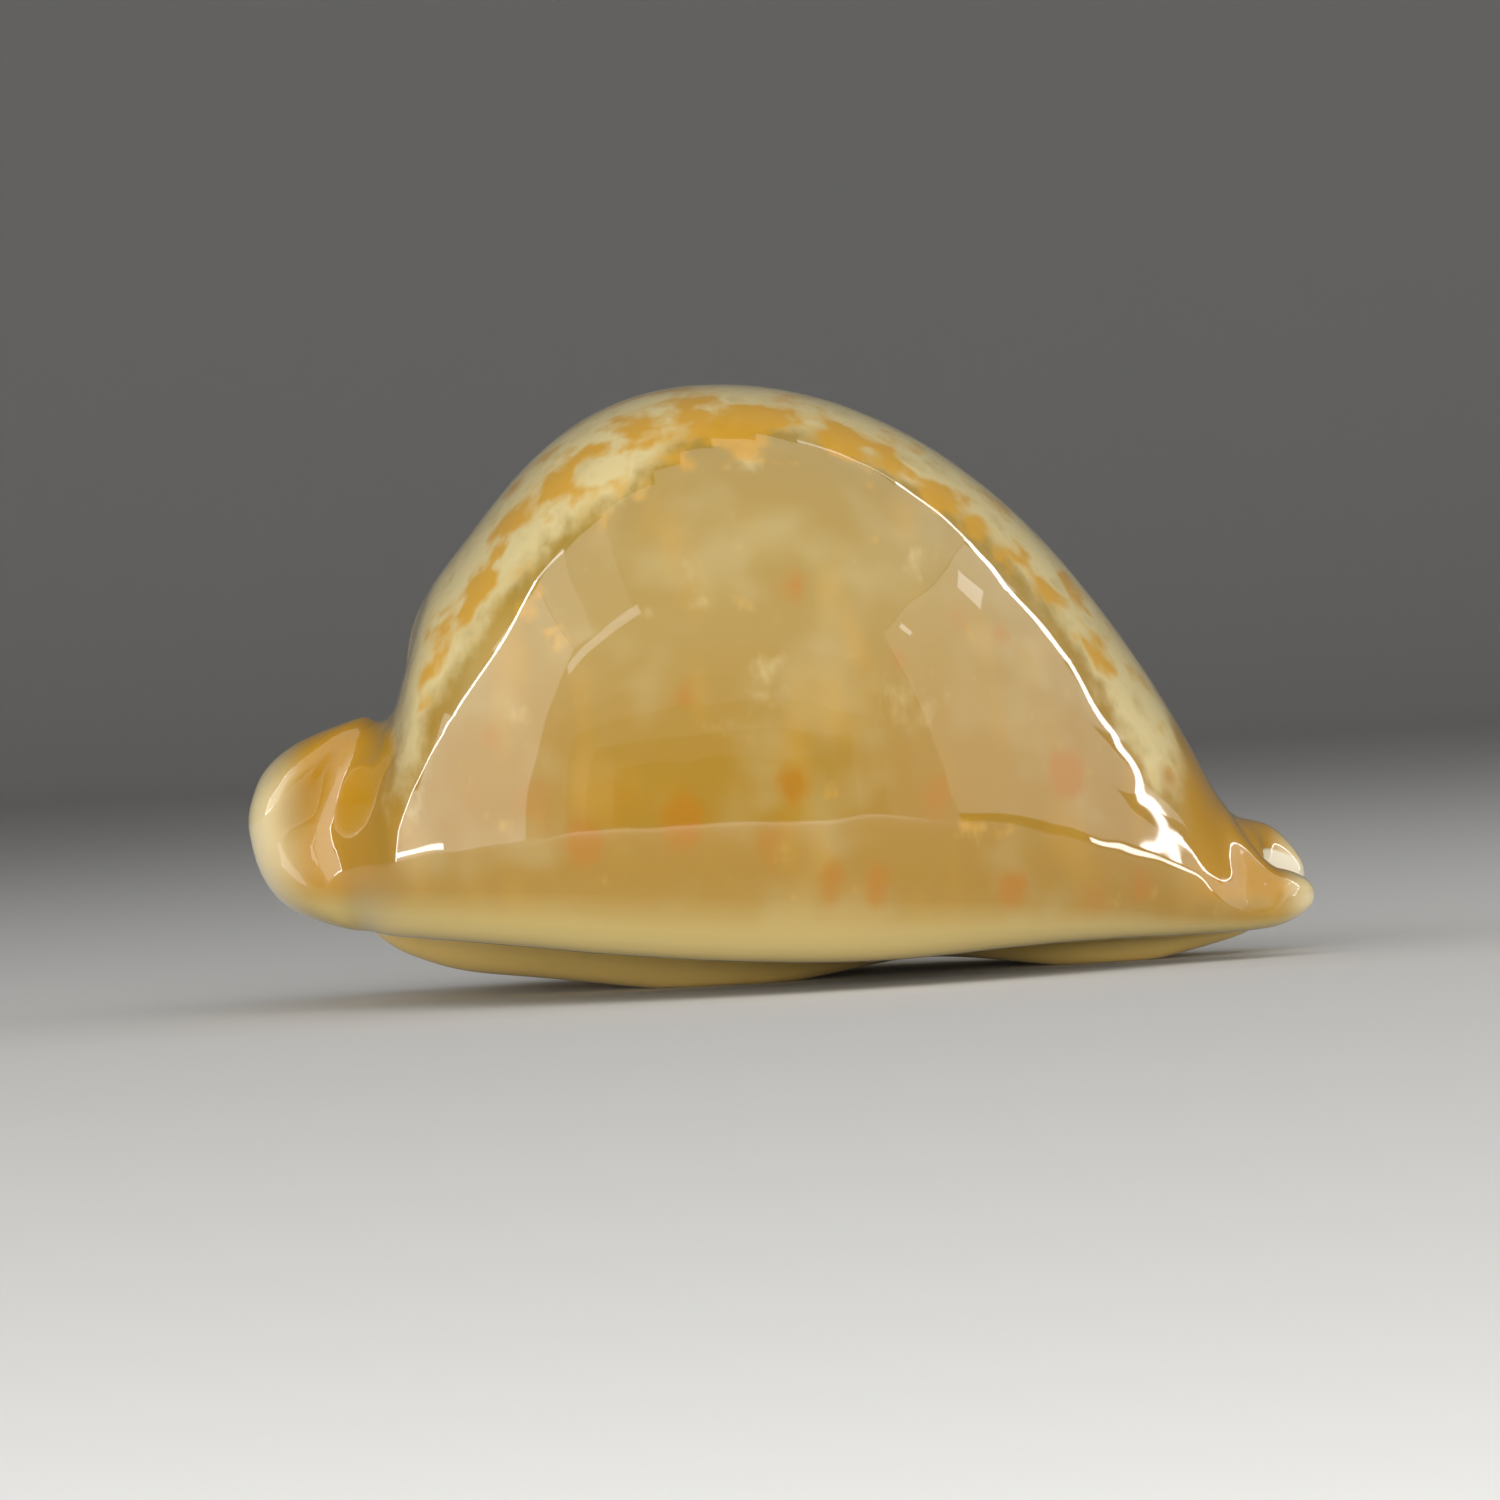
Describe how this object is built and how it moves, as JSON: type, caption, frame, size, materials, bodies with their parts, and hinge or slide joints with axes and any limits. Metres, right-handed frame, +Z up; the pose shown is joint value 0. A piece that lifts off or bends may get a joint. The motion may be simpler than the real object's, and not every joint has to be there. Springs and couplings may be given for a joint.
{
  "type": "armeniaca cowry shell",
  "caption": "Large domed cowry shell, glossy apricot over cream, with a curved toothed aperture underneath, flared lobes at both ends and a sunken spire; rests on its base.",
  "frame": {"origin": "middle of the bounding box in plan, on the surface that the shell rests on", "axes": "+X towards the narrow anterior end, +Y towards the inner (columellar) side, +Z up; the outer lip (labral side) faces -Y"},
  "size_m": [0.0919, 0.0595, 0.0523],
  "materials": {
    "shell": "high natural gloss; apricot body with soft orange spots, blotched yellow-orange and milky dorsum, cream margins and base, orange hollows beside the end lobes"
  },
  "bodies": {
    "root": {"shell": "shell"}
  },
  "joints": []
}
